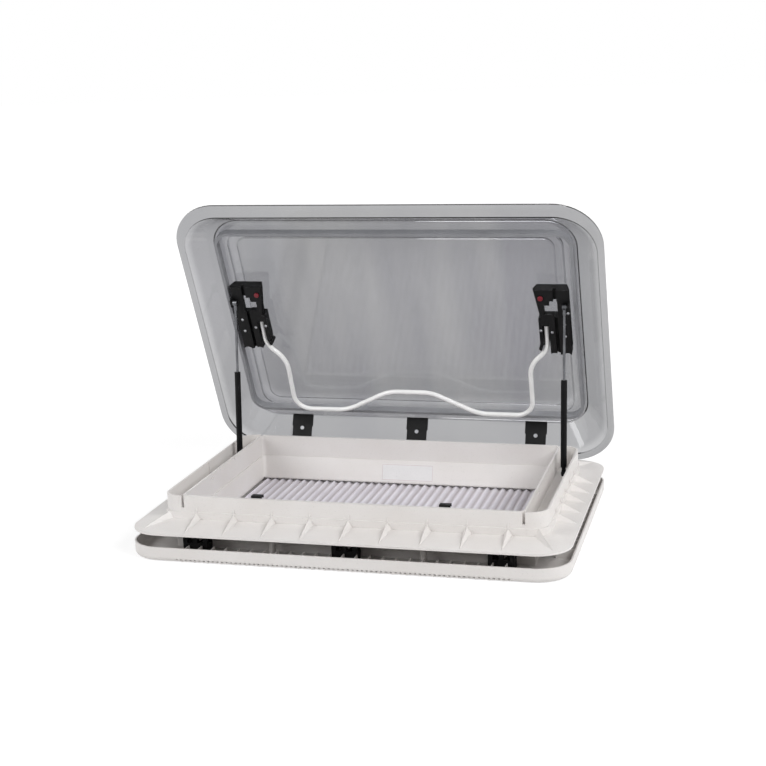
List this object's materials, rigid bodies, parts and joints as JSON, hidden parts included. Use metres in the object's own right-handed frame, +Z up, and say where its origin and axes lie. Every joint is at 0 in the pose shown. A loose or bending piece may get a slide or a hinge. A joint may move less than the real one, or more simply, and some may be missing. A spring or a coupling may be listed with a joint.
{
  "type": "rv skylight",
  "caption": "Hinged roof light for a caravan: tinted double-glazed lid on gas struts, white roof frame, ceiling frame with pleated blind and flyscreen, bow handle.",
  "frame": {"origin": "centre of the roof cut-out, on the flat cabin face of the ceiling frame", "axes": "+X along the long side, +Y towards the lid's hinges, +Z up out of the roof"},
  "size_m": [0.828, 0.6305, 0.5973],
  "materials": {
    "white_plastic": "moulded white weatherproof plastic, satin",
    "tinted_acrylic": "smoke-tinted acrylic, polished",
    "pane_acrylic": "lightly tinted acrylic, polished",
    "seal_rubber": "grey hollow rubber profile",
    "black_plastic": "black fibre-filled plastic",
    "red_plastic": "red moulded plastic",
    "white_enamel": "white powder-coated steel rod",
    "black_enamel": "black painted steel tube",
    "bright_steel": "ground and plated steel",
    "zinc_steel": "zinc-plated steel",
    "blind_fabric": "white pleated blackout fabric",
    "screen_net": "grey pleated insect mesh"
  },
  "bodies": {
    "frame": {"outer_frame": "white_plastic", "roof_spigot": "white_plastic", "frame_collar": "white_plastic", "channel_wall_left": "white_plastic", "channel_wall_right": "white_plastic", "ceiling_frame": "white_plastic", "clamp_brackets": "black_plastic", "clamp_screws": "zinc_steel", "ceiling_frame_screws": "zinc_steel", "front_catch_left": "black_plastic", "front_catch_right": "black_plastic", "hinge_base_left": "black_plastic", "hinge_base_middle": "black_plastic", "hinge_base_right": "black_plastic", "hinge_pins": "bright_steel", "hinge_base_screws": "zinc_steel", "strut_base_stud_left": "bright_steel", "strut_base_stud_right": "bright_steel", "blind_rail_front": "white_plastic", "blind_rail_back": "white_plastic", "blind_cassette": "white_plastic", "flyscreen_cassette": "white_plastic", "pleated_blind": "blind_fabric", "pleated_flyscreen": "screen_net"},
    "lid": {"outer_dome": "tinted_acrylic", "inner_pane": "pane_acrylic", "pane_bond": "pane_acrylic", "lid_seal": "seal_rubber", "bow_bracket_left": "black_plastic", "bow_bracket_right": "black_plastic", "bracket_rivets": "zinc_steel", "hinge_strap_left": "black_plastic", "hinge_strap_middle": "black_plastic", "hinge_strap_right": "black_plastic", "strap_screws": "zinc_steel", "strut_top_stud_left": "bright_steel", "strut_top_stud_right": "bright_steel", "bow_pivot_pins": "bright_steel"},
    "bow": {"bow_handle": "white_enamel"},
    "blind_pull": {"blind_bar": "white_plastic"},
    "flyscreen_pull": {"flyscreen_bar": "white_plastic"},
    "button_left": {"red_button_left": "red_plastic"},
    "strut_tube_left": {"strut_cylinder_left": "black_enamel"},
    "strut_plunger_left": {"strut_rod_left": "bright_steel"},
    "button_right": {"red_button_right": "red_plastic"},
    "strut_tube_right": {"strut_cylinder_right": "black_enamel"},
    "strut_plunger_right": {"strut_rod_right": "bright_steel"}
  },
  "joints": [
    {"name": "lid_hinge", "type": "hinge", "parent": "frame", "child": "lid", "pos_m": [0, 0.286, 0.062], "axis": [1, 0, 0], "range_deg": [0, 64]},
    {"name": "bow_swing", "type": "hinge", "parent": "lid", "child": "bow", "pos_m": [0, 0.19005, 0.35454], "axis": [-1, 0, 0], "range_deg": [0, 15]},
    {"name": "blind_slide", "type": "slide", "parent": "frame", "child": "blind_pull", "axis": [-1, 0, 0], "range_m": [0, 0.576], "deforming": ["pleated_blind"]},
    {"name": "flyscreen_slide", "type": "slide", "parent": "frame", "child": "flyscreen_pull", "axis": [1, 0, 0], "range_m": [0, 0.576], "deforming": ["pleated_flyscreen"]},
    {"name": "button_left_press", "type": "slide", "parent": "lid", "child": "button_left", "axis": [0, 0.8988, 0.4384], "range_m": [0, 0.003], "stiffness_N_per_m": 400, "springref_m": -0.002},
    {"name": "strut_left_turn", "type": "hinge", "parent": "frame", "child": "strut_tube_left", "pos_m": [-0.3305, 0.135, 0.068], "axis": [1, 0, 0], "range_deg": [0, 88.02]},
    {"name": "strut_left_stroke", "type": "slide", "parent": "strut_tube_left", "child": "strut_plunger_left", "axis": [0, 0.0595, 0.9982], "range_m": [-0.12006, 0]},
    {"name": "button_right_press", "type": "slide", "parent": "lid", "child": "button_right", "axis": [0, 0.8988, 0.4384], "range_m": [0, 0.003], "stiffness_N_per_m": 400, "springref_m": -0.002},
    {"name": "strut_right_turn", "type": "hinge", "parent": "frame", "child": "strut_tube_right", "pos_m": [0.3305, 0.135, 0.068], "axis": [1, 0, 0], "range_deg": [0, 88.02]},
    {"name": "strut_right_stroke", "type": "slide", "parent": "strut_tube_right", "child": "strut_plunger_right", "axis": [0, 0.0595, 0.9982], "range_m": [-0.12006, 0]}
  ],
  "couplings": [
    {"joint": "strut_left_turn", "follows": "lid_hinge", "ratio": 1.3752},
    {"joint": "strut_left_stroke", "follows": "lid_hinge", "m_per_rad": -0.10744},
    {"joint": "strut_right_turn", "follows": "lid_hinge", "ratio": 1.3752},
    {"joint": "strut_right_stroke", "follows": "lid_hinge", "m_per_rad": -0.10744}
  ]
}
